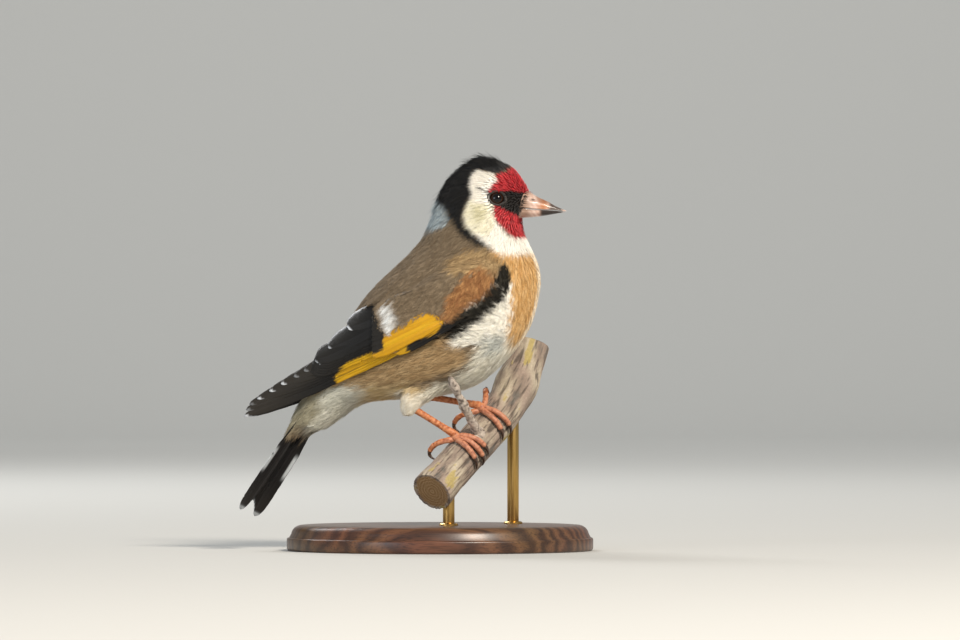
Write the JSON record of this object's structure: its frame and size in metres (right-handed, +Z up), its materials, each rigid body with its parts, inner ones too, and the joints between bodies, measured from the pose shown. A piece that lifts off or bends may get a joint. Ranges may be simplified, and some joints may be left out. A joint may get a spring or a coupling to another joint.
{
  "type": "perched songbird model",
  "caption": "Life-size still model of a European goldfinch gripping a cut length of branch, on a plain round stand with short rods.",
  "frame": {"origin": "centre of the stand's underside", "axes": "+Z up; the bird faces +X, its right side faces -Y, and the camera of the picture looks along +Y"},
  "size_m": [0.097, 0.084, 0.1083],
  "materials": {
    "head_feathers": "fine plumage, red, white and black",
    "neck_feathers": "fine plumage, grey-brown and cream",
    "body_feathers": "soft plumage, buff-brown to white",
    "thigh_feathers": "soft whitish down",
    "wing_feathers": "flight feathers, satin black",
    "tail_feathers": "flight feathers, satin black",
    "bill_horn": "horn, satin",
    "eye": "wet gloss",
    "leg_scales": "scaly skin, satin",
    "claw_horn": "horn, satin",
    "bark": "rough dry bark",
    "base_wood": "waxed",
    "rod_brass": "satin"
  },
  "bodies": {
    "root": {"head": "head_feathers", "neck": "neck_feathers", "torso": "body_feathers", "eye_right": "eye", "eye_left": "eye", "bill_upper": "bill_horn", "bill_lower": "bill_horn", "wing_right": "wing_feathers", "wing_left": "wing_feathers", "tail": "tail_feathers", "perch": "bark", "stand_base": "base_wood", "stand_rod_1": "rod_brass", "stand_rod_2": "rod_brass", "leg_right_thigh": "thigh_feathers", "leg_right_shank": "leg_scales", "foot_right": "leg_scales", "claw_right_inner": "claw_horn", "claw_right_middle": "claw_horn", "claw_right_outer": "claw_horn", "claw_right_hind": "claw_horn", "leg_left_thigh": "thigh_feathers", "leg_left_shank": "leg_scales", "foot_left": "leg_scales", "claw_left_inner": "claw_horn", "claw_left_middle": "claw_horn", "claw_left_outer": "claw_horn", "claw_left_hind": "claw_horn"}
  },
  "joints": []
}
